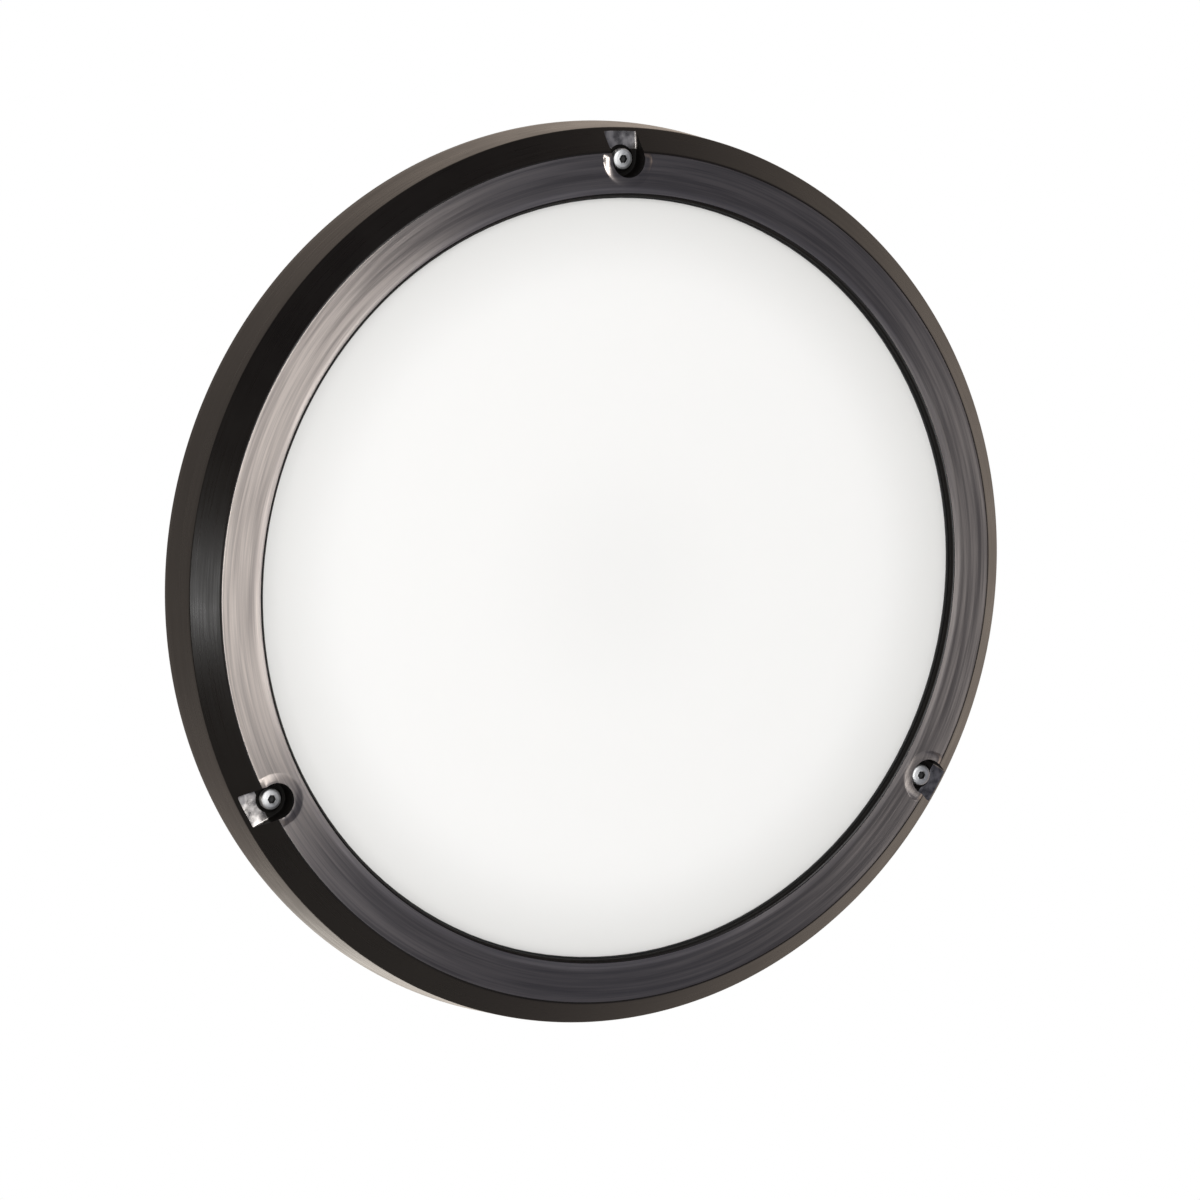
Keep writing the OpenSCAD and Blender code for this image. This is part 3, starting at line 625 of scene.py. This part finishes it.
def screw_ring(angle, radius, z, steps):
    """A circle round a screw's axis."""
    return [screw_point(angle, radius * math.cos(t), radius * math.sin(t), z) for t in even_angles(steps)]


def post(angle, diameter, low, high, kind):
    return loft([screw_ring(angle, diameter / 2, z, POST_STEPS) for z in (low, high)], [kind])


def boss(angle):
    outline = u_outline(BOSS_D / 2, WALL_TOP_R - SCREW_R)
    return loft([[screw_point(angle, p.x, p.y, z) for p in outline] for z in (BOSS_Z, LIP_Z)])


def gusset(angle):
    near = POCKET_OUT_R - GUSSET_SINK
    far = WALL_TOP_R - SHELL + GUSSET_SINK
    under_band = FACE_Z - SHELL
    section = [
        (near, POCKET_Z + GUSSET_SINK),
        (far, WALL_TOP_Z - GUSSET_FOOT),
        (far, WALL_TOP_Z - GUSSET_CORNER),
        (FACE_R - GUSSET_CORNER, under_band + GUSSET_SINK),
        (near, under_band + GUSSET_SINK),
        (near, under_band),
    ]
    turn = Matrix.Rotation(-angle, 4, "Y")
    rings = []
    for side in (-GUSSET_T / 2, GUSSET_T / 2):
        rings.append([turn @ (Vector((r, -z, side)) * MM) for r, z in section])
    return loft(rings)


def under_face():
    """The bezel's outer form, a little inside its surface."""
    outline = [
        Vector((RIM_R - BOSS_COVER, BOSS_LOW_Z)),
        Vector((WALL_TOP_R - BOSS_COVER, WALL_TOP_Z - BOSS_CORNER_COVER)),
        Vector((FACE_R - BOSS_CORNER_COVER, FACE_Z - BOSS_COVER)),
        Vector((LIP_R + BOSS_COVER, LIP_Z - BOSS_COVER)),
        Vector((LIP_R + BOSS_COVER, BOSS_LOW_Z)),
    ]
    return revolve("under_face", outline, even_angles(COVER_STEPS))


def build_bezel():
    materials = [satin_bronze(), brushed_band(), notch_metal(), matt_black()]
    bezel = revolve("bezel_ring", bezel_outline(), ring_angles(), materials, bezel_band, notch_relief)
    bosses = joined("bosses", [boss(a) for a in SCREW_ANGLES], materials)
    apply_boolean(bosses, under_face(), "INTERSECT")
    apply_boolean(bezel, bosses, "UNION")
    spots = [math.radians(90 + (i + 0.5) * 360 / GUSSET_COUNT) for i in range(GUSSET_COUNT)]
    apply_boolean(bezel, joined("gussets", [gusset(a) for a in spots], materials), "UNION")
    cuts = [notch_cutter(a) for a in SCREW_ANGLES]
    apply_boolean(bezel, joined("notches", cuts, materials), "DIFFERENCE")
    cuts = [post(a, SPOT_D, NOTCH_FLOOR_Z, NOTCH_FLOOR_Z + SPOT_H, BLACK) for a in SCREW_ANGLES]
    apply_boolean(bezel, joined("spot_faces", cuts, materials), "DIFFERENCE")
    cuts = [post(a, SCREW_HOLE_D, HOLE_LOW_Z, HOLE_TOP_Z, BLACK) for a in SCREW_ANGLES]
    apply_boolean(bezel, joined("screw_holes", cuts, materials), "DIFFERENCE")
    shade(bezel, BEZEL_SHARP)
    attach(bezel, BODY)
    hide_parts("bezel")


# Diffuser: its colour in the middle, that colour darkened at the edge as painted shade, and the light ring's
# glow behind it, by radius

OPAL_MIDDLE = (0.900, 0.893, 0.880)
OPAL_PAINTED_SHADE = (0.815, 0.808, 0.790)
OPAL_CLOUD = (0.86, 0.86, 0.85)
OPAL_SHADE_START_R = 98.0
OPAL_SHADE_END_R = 127.0
NO_GLOW = (0.0, 0.0, 0.0)
FULL_GLOW = (1.0, 0.992, 0.975)
GLOW_STRENGTH = 0.065
GLOW_CENTRE = 0.55
GLOW_EDGE = 0.25
GLOW_RISE_R = (5.0, 55.0)
GLOW_FALL_R = (88.0, 122.0)


def opal_plastic():
    """Opal plastic with the soft glow of the light ring behind it, and painted shade darkening its colour
    towards the edge.
    """
    finish = Finish("opal_plastic", IOR=1.49, Roughness=0.32, Emission_Strength=GLOW_STRENGTH)
    place = finish.place()
    radius = finish.radius()
    # Painted shade: the colour darkens towards the edge, where less light from behind reaches and the bezel
    # shades it
    body = finish.mix(finish.ramp(radius, OPAL_SHADE_START_R, OPAL_SHADE_END_R), OPAL_MIDDLE, OPAL_PAINTED_SHADE)
    cloud = finish.calc("MULTIPLY", finish.noise(place, scale=14.0, detail=2.0), 0.05)
    finish.set("Base Color", finish.mix(cloud, body, OPAL_CLOUD))
    inside = finish.ramp(radius, *GLOW_RISE_R, low=GLOW_CENTRE, high=1.0)
    outside = finish.ramp(radius, *GLOW_FALL_R, low=1.0, high=GLOW_EDGE)
    glow = finish.calc("MULTIPLY", inside, outside)
    finish.set("Emission Color", finish.mix(glow, NO_GLOW, FULL_GLOW))
    finish.bump(finish.noise(place, scale=900.0, detail=2.0), strength=0.04, depth=0.01)
    return finish.material


def crown(radius, edge_z):
    """Points of a crowned face from the axis to its edge."""
    points = []
    for k in range(CROWN_STEPS + 1):
        share = k / CROWN_STEPS
        points.append(Vector((radius * share, edge_z + CROWN * (1 - share ** 2))))
    return points


def build_diffuser():
    front = crown(CROWN_R, DIFFUSER_FRONT)
    back = crown(CROWN_BACK_R, DIFFUSER_BACK)
    rim = rounded([
        (CROWN_R, DIFFUSER_FRONT, 0),
        (DIFFUSER_R, DIFFUSER_FRONT, DIFFUSER_FRONT_EDGE),
        (DIFFUSER_R, DIFFUSER_BACK, DIFFUSER_BACK_EDGE),
        (CROWN_BACK_R, DIFFUSER_BACK, 0),
    ])
    outline = front[:-1] + rim + back[-2::-1]
    outline[0].x = DIFFUSER_AXIS_R
    outline[-1].x = DIFFUSER_AXIS_R
    diffuser = revolve("opal_disc", outline, even_angles(DIFFUSER_STEPS), [opal_plastic()])
    shade(diffuser, DIFFUSER_SHARP)
    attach(diffuser, BODY)
    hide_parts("diffuser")


# Bezel screws, with the places of their materials in the mesh

STEEL, SOCKET = range(2)
STEEL_TONES = (0.84, 0.84, 0.83), (0.96, 0.96, 0.95)
SOCKET_TONES = (0.010, 0.010, 0.010), (0.022, 0.022, 0.022)


def stainless():
    finish = Finish("stainless", Metallic=1.0, Anisotropic=0.3)
    place = finish.place()
    cloud = finish.noise(place, scale=900.0, detail=3.0)
    finish.set("Base Color", finish.mix(cloud, *STEEL_TONES))
    finish.set("Roughness", finish.ramp(cloud, 0.25, 0.75, low=0.42, high=0.52))
    finish.bump(finish.noise(place, scale=2600.0, detail=2.0), strength=0.2, depth=0.01)
    return finish.material


def socket_shade():
    finish = Finish("socket_shade", Roughness=0.6)
    cloud = finish.noise(finish.place(), scale=900.0, detail=3.0)
    finish.set("Base Color", finish.mix(cloud, *SOCKET_TONES))
    return finish.material


def hexagon_radius(turn):
    """Distance from the axis to the socket's side in direction turn."""
    sector = (turn + math.pi / 6) % (math.pi / 3) - math.pi / 6
    return SOCKET_AF / 2 / math.cos(sector)


def hexagon_ring(angle, share, z):
    """The socket's outline, scaled by the share."""
    ring = []
    for t in even_angles(SCREW_STEPS):
        radius = share * hexagon_radius(t)
        ring.append(screw_point(angle, radius * math.cos(t), radius * math.sin(t), z))
    return ring


def screw_profile():
    """Radius and height of a screw's rings, from the tip to the crown of the head."""
    radius = SCREW_D / 2
    profile = [(radius - TIP_CHAMFER, SCREW_TIP_Z), (radius, SCREW_TIP_Z + TIP_CHAMFER)]
    for k in range(int(THREAD_LENGTH / THREAD_PITCH)):
        z = THREAD_Z + k * THREAD_PITCH
        profile += [(radius, z), (radius - THREAD_DEPTH, z + THREAD_PITCH / 2)]
    profile += [(radius, SHANK_Z), (radius, HEAD_Z)]
    head = HEAD_D / 2
    top = HEAD_Z + HEAD_H
    profile += [(head - HEAD_FOOT, HEAD_Z), (head, HEAD_Z + HEAD_FOOT)]
    for k in range(HEAD_EDGE_STEPS + 1):
        turn = HEAD_EDGE_TURN * k / HEAD_EDGE_STEPS
        inwards = HEAD_EDGE * (1 - math.cos(turn))
        below = HEAD_CROWN + HEAD_EDGE * (1 - math.sin(turn))
        profile.append((head - inwards, top - below))
    for share in HEAD_CROWN_RINGS:
        profile.append((share * head, top - HEAD_CROWN * share ** 2))
    return profile


def screw(angle):
    top = HEAD_Z + HEAD_H
    rings = [screw_ring(angle, radius, z, SCREW_STEPS) for radius, z in screw_profile()]
    rings += [hexagon_ring(angle, share, top - depth) for share, depth in SOCKET_MOUTH]
    kinds = [STEEL] * (len(rings) - 1) + [SOCKET] * len(SOCKET_FLOOR)
    rings += [hexagon_ring(angle, share, top - depth) for share, depth in SOCKET_FLOOR]
    return loft(rings, kinds)


def build_screws():
    screws = joined("socket_screws", [screw(a) for a in SCREW_ANGLES], [stainless(), socket_shade()])
    shade(screws, SCREW_SHARP)
    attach(screws, BODY)
    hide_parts("bezel_screws")


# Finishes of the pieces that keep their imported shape: colour, metallic, roughness, grain size and depth
PLAIN = {
    "bronze_casting": ((0.022, 0.017, 0.014), 0.0, 0.46, 0.8, 0.03),
    "seal_rubber": ((0.012, 0.012, 0.012), 0.0, 0.62, 0.3, 0.015),
    "closed_foam": ((0.030, 0.030, 0.031), 0.0, 0.85, 0.5, 0.12),
    "white_board": ((0.80, 0.80, 0.77), 0.0, 0.38, 2.0, 0.01),
    "emitter_resin": ((0.78, 0.62, 0.16), 0.0, 0.30, 0.4, 0.01),
    "thermal_grey": ((0.26, 0.29, 0.30), 0.0, 0.70, 0.6, 0.03),
    "zinc_steel": ((0.55, 0.56, 0.57), 1.0, 0.34, 0.5, 0.01),
    "white_plastic": ((0.78, 0.78, 0.75), 0.0, 0.42, 0.7, 0.015),
    "white_enamel": ((0.84, 0.84, 0.82), 0.0, 0.28, 1.5, 0.01),
    "circuit_green": ((0.030, 0.150, 0.065), 0.0, 0.34, 2.5, 0.02),
    "ferrite": ((0.030, 0.030, 0.029), 0.0, 0.60, 0.4, 0.02),
    "capacitor_sleeve": ((0.020, 0.030, 0.052), 0.0, 0.35, 1.5, 0.01),
    "terminal_brass": ((0.58, 0.42, 0.16), 1.0, 0.30, 0.6, 0.01),
    "tinned_copper": ((0.58, 0.59, 0.60), 1.0, 0.32, 0.6, 0.01),
    "brown_insulation": ((0.147, 0.054, 0.019), 0.0, 0.45, 0.8, 0.01),
    "blue_insulation": ((0.027, 0.114, 0.366), 0.0, 0.45, 0.8, 0.01),
    "earth_insulation": ((0.159, 0.323, 0.027), 0.0, 0.45, 0.8, 0.01),
    "red_insulation": ((0.451, 0.019, 0.024), 0.0, 0.45, 0.8, 0.01),
    "black_insulation": ((0.016, 0.016, 0.016), 0.0, 0.45, 0.8, 0.01),
}

NODE_SLOTS = {
    "base_pan": "bronze_casting",
    "lens_gasket": "seal_rubber",
    "rim_seal": "seal_rubber",
    "screw_seals": "seal_rubber",
    "wall_gasket": "closed_foam",
    "cable_grommet": "seal_rubber",
    "fixing_seals": "seal_rubber",
    "led_board": "white_board",
    "led_emitters": "emitter_resin",
    "thermal_pad": "thermal_grey",
    "board_screws": "zinc_steel",
    "led_connector": "white_plastic",
    "gear_cover": "white_enamel",
    "gear_cover_screws": "zinc_steel",
    "driver_case": "white_plastic",
    "driver_lid": "white_plastic",
    "driver_board": "circuit_green",
    "driver_transformer": "ferrite",
    "driver_capacitors": "capacitor_sleeve",
    "driver_screws": "zinc_steel",
    "terminal_block": "white_plastic",
    "terminal_clamps": "terminal_brass",
    "terminal_screws": "terminal_brass",
    "terminal_fixing_screw": "zinc_steel",
    "earth_screw": "terminal_brass",
    "earth_terminal": "tinned_copper",
    "live_lead": "brown_insulation",
    "neutral_lead": "blue_insulation",
    "earth_lead": "earth_insulation",
    "led_positive_lead": "red_insulation",
    "led_negative_lead": "black_insulation",
}

# Clouding of these finishes: the colour's dark and light ends, and the spread of the roughness
CLOUD_DARK = 0.82
CLOUD_LIGHT = 1.12
CLOUD_SMOOTHER = 0.05
CLOUD_ROUGHER = 0.06


def plain_finish(name, colour, metallic, roughness, grain, grain_depth):
    finish = Finish(name, Metallic=metallic)
    place = finish.place()
    cloud = finish.noise(place, scale=45.0, detail=4.0)
    dark = tuple(CLOUD_DARK * c for c in colour)
    light = tuple(min(1.0, CLOUD_LIGHT * c) for c in colour)
    finish.set("Base Color", finish.mix(cloud, dark, light))
    spread = finish.ramp(cloud, 0.2, 0.8, low=roughness - CLOUD_SMOOTHER, high=roughness + CLOUD_ROUGHER)
    finish.set("Roughness", spread)
    finish.bump(finish.noise(place, scale=1 / (grain * MM), detail=3.0), strength=0.5, depth=grain_depth)
    return finish.material


def dress_nodes():
    made = {slot: plain_finish(slot, *values) for slot, values in PLAIN.items()}
    for node, slot in NODE_SLOTS.items():
        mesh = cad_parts[node].data
        mesh.materials.clear()
        mesh.materials.append(made[slot])


# Floor: its colour, and the white that the camera sees added from the middle to the edges, in metres

FLOOR_TONES = (0.86, 0.86, 0.855), (0.89, 0.89, 0.885)
FLOOR_MIDDLE_R = -FLOOR_Z + 0.1
FLOOR_EDGE_R = FLOOR_HALF + 0.05
FLOOR_MIDDLE_LIFT = 0.2
FLOOR_EDGE_LIFT = 0.5
WHITE = (1, 1, 1)


def floor_material():
    """Pale, and to the camera white towards its edges, where it meets the white background."""
    finish = Finish("pale_floor", Roughness=0.9, Specular_IOR_Level=0.1, Emission_Color=WHITE)
    place = finish.place()
    finish.set("Base Color", finish.mix(finish.noise(place, scale=3.0, detail=2.0), *FLOOR_TONES))
    distance = finish.node("ShaderNodeVectorMath", [(0, place)], operation="LENGTH").outputs["Value"]
    lift = finish.ramp(distance, FLOOR_MIDDLE_R, FLOOR_EDGE_R, FLOOR_MIDDLE_LIFT, FLOOR_EDGE_LIFT)
    seen = finish.node("ShaderNodeLightPath").outputs["Is Camera Ray"]
    finish.set("Emission Strength", finish.calc("MULTIPLY", seen, lift))
    return finish.material


def build_floor():
    corners = [(-1, -1), (1, -1), (1, 1), (-1, 1)]
    verts = [(x * FLOOR_HALF, y * FLOOR_HALF, FLOOR_Z) for x, y in corners]
    floor = make_mesh("floor", verts, [(0, 1, 2, 3)], [floor_material()])
    floor.visible_glossy = False


# Studio that the metal mirrors, and the plain light on everything else

PLAIN_LIGHT = (0.55, 0.55, 0.55)
STUDIO_LEFT = (0.150, 0.140, 0.130)
STUDIO_RIGHT = (0.060, 0.065, 0.085)
STUDIO_BOTTOM = (0.280, 0.255, 0.235)
STUDIO_TOP = (0.046, 0.047, 0.060)
STUDIO_BACK = (0.95, 0.80, 0.68)
STUDIO_BACK_SIDE = (0.6, 0.8, 0.0)
STUDIO_SWEEP = (2.30, 2.15, 1.95)
UPPER_PATCH = (0.22, 0.235, 0.285)
UPPER_PATCH_PLACE = (17, 28)
LOWER_PATCH = (0.34, 0.36, 0.42)
LOWER_PATCH_PLACE = (1, -33)
PATCH_INNER = math.radians(4)
PATCH_OUTER = math.radians(16)


def build_world():
    """White to the camera; the metal mirrors a dim room with layers of light over it, the patches last."""
    world = bpy.data.worlds.new("studio")
    bpy.context.scene.world = world
    world.use_nodes = True
    world.node_tree.nodes.clear()
    tree = NodeTree(world.node_tree)
    sky = tree.node("ShaderNodeTexCoord").outputs["Generated"]
    right, behind, up = tree.node("ShaderNodeSeparateXYZ", [(0, sky)]).outputs

    def cover(*edges):
        """Share covered by a layer; each edge is a component of the direction, its start and its end."""
        share = tree.ramp(*edges[0])
        for edge in edges[1:]:
            share = tree.calc("MULTIPLY", share, tree.ramp(*edge))
        return share

    def patch(place):
        """Share covered by a soft round patch at an azimuth and elevation."""
        along = tree.dot(sky, studio_place(*place, 1.0))
        return tree.ramp(along, math.cos(PATCH_OUTER), math.cos(PATCH_INNER))

    studio = tree.mix(cover((right, -0.75, -0.25)), STUDIO_LEFT, STUDIO_RIGHT)
    studio = tree.mix(cover((up, -0.70, -0.95), (right, 0.35, 0.05)), studio, STUDIO_BOTTOM)
    studio = tree.mix(cover((up, 0.1, 0.5)), studio, STUDIO_TOP)
    lean = tree.calc("MAXIMUM", tree.dot(sky, STUDIO_BACK_SIDE), 0.0)
    glow = tree.calc("MULTIPLY", lean, cover((behind, -0.35, 0.05)))
    studio = tree.mix(glow, studio, STUDIO_BACK)
    sweep = cover((up, -0.25, -0.50), (behind, 0.60, 0.80), (right, -0.10, 0.30))
    studio = tree.mix(sweep, studio, STUDIO_SWEEP)
    studio = tree.mix(patch(UPPER_PATCH_PLACE), studio, UPPER_PATCH)
    studio = tree.mix(patch(LOWER_PATCH_PLACE), studio, LOWER_PATCH)
    path = tree.node("ShaderNodeLightPath").outputs
    light = tree.mix(path["Is Glossy Ray"], PLAIN_LIGHT, studio)
    seen = tree.calc("MAXIMUM", path["Is Camera Ray"], path["Is Transmission Ray"])
    shader = tree.node("ShaderNodeBackground", [("Color", tree.mix(seen, light, WHITE))])
    tree.node("ShaderNodeOutputWorld", [("Surface", shader.outputs[0])])


def studio_place(azimuth, elevation, distance):
    """A place round the lamp: azimuth from the front, positive to the right, in degrees."""
    a = math.radians(azimuth)
    e = math.radians(elevation)
    return Vector((math.sin(a) * math.cos(e), -math.cos(a) * math.cos(e), math.sin(e))) * distance


def soft_box(name, place, size, brightness):
    """A rectangular light that faces the lamp; brightness 1 looks white."""
    data = bpy.data.lights.new(name, "AREA")
    data.shape = "RECTANGLE"
    data.size = size[0]
    data.size_y = size[1]
    data.energy = brightness * math.pi * size[0] * size[1]
    light = bpy.data.objects.new(name, data)
    bpy.context.scene.collection.objects.link(light)
    light.location = place
    light.rotation_euler = (-place).to_track_quat("-Z", "Y").to_euler()
    light.visible_camera = False


def build_lights():
    for name, (place, size, brightness) in SOFT_BOXES.items():
        soft_box(name, studio_place(*place), size, brightness)


def build_camera():
    place = Vector(CAMERA_PLACE)
    ahead = (Vector(CAMERA_AIM) - place).normalized()
    level = ahead.cross(Vector((0, 0, 1))).normalized()
    upright = level.cross(ahead)
    up = upright * math.cos(CAMERA_ROLL) + level * math.sin(CAMERA_ROLL)
    right = ahead.cross(up)
    data = bpy.data.cameras.new("camera")
    data.lens = CAMERA_LENS
    data.sensor_width = CAMERA_SENSOR
    camera = bpy.data.objects.new("camera", data)
    bpy.context.scene.collection.objects.link(camera)
    turn = Matrix((right, up, -ahead)).transposed().to_4x4()
    camera.matrix_world = Matrix.Translation(place) @ turn
    bpy.context.scene.camera = camera


build_bezel()
build_diffuser()
build_screws()
dress_nodes()
build_floor()
build_world()
build_lights()
build_camera()
bpy.context.scene.view_settings.view_transform = "Standard"
